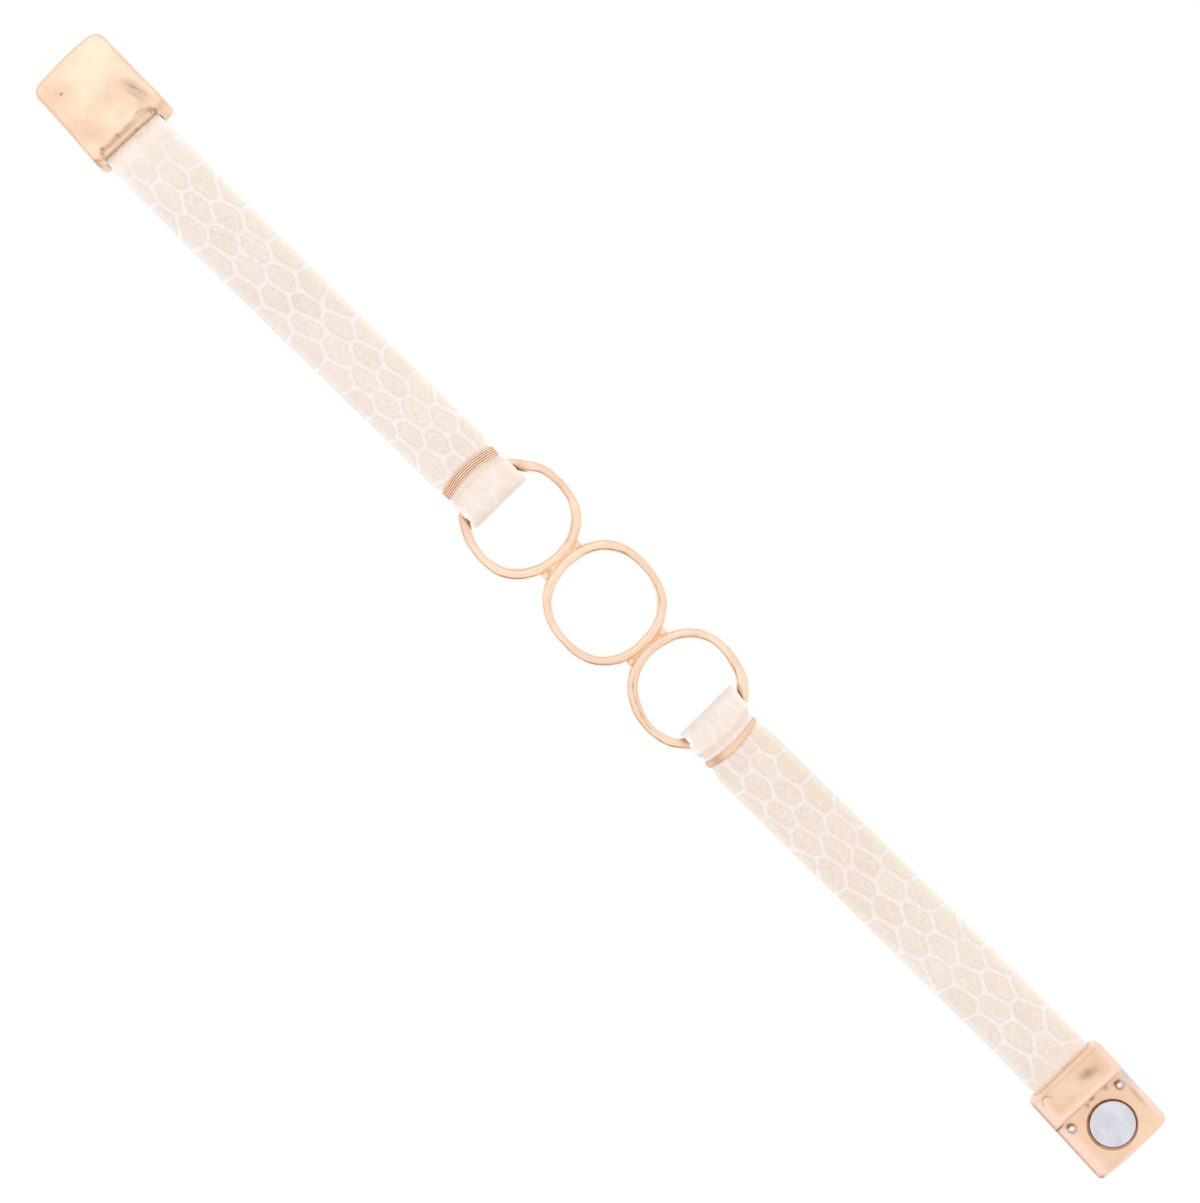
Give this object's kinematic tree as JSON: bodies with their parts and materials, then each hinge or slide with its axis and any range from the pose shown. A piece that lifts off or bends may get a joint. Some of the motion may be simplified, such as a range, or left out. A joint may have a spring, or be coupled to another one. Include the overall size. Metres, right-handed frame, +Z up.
{
  "type": "magnetic bracelet",
  "caption": "Open magnetic bracelet: folded snake-embossed leather straps, a soldered row of wire rings and a hammered rose-gold clasp with disc magnets.",
  "frame": {"origin": "middle of the bracelet's box, on the surface that it lies on", "axes": "+X along the bracelet from the clasp's cover half to its base half, +Y across the straps, +Z up, out of the embossed side"},
  "size_m": [0.1987, 0.0162, 0.0064],
  "materials": {
    "clasp_metal": "hammered, polished pale rose-gold plating",
    "ring_metal": "polished pale rose-gold wire",
    "wire_metal": "fine drawn rose-gold wire",
    "leather": "satin cream leather, snake embossed",
    "magnet": "nickel-plated, lightly scuffed"
  },
  "bodies": {
    "root": {"clasp_cover": "clasp_metal", "cover_magnet": "magnet", "strap_left": "leather", "binding_left": "wire_metal", "ring_trio": "ring_metal", "binding_right": "wire_metal", "strap_right": "leather", "clasp_base": "clasp_metal", "base_magnet": "magnet"}
  },
  "joints": []
}
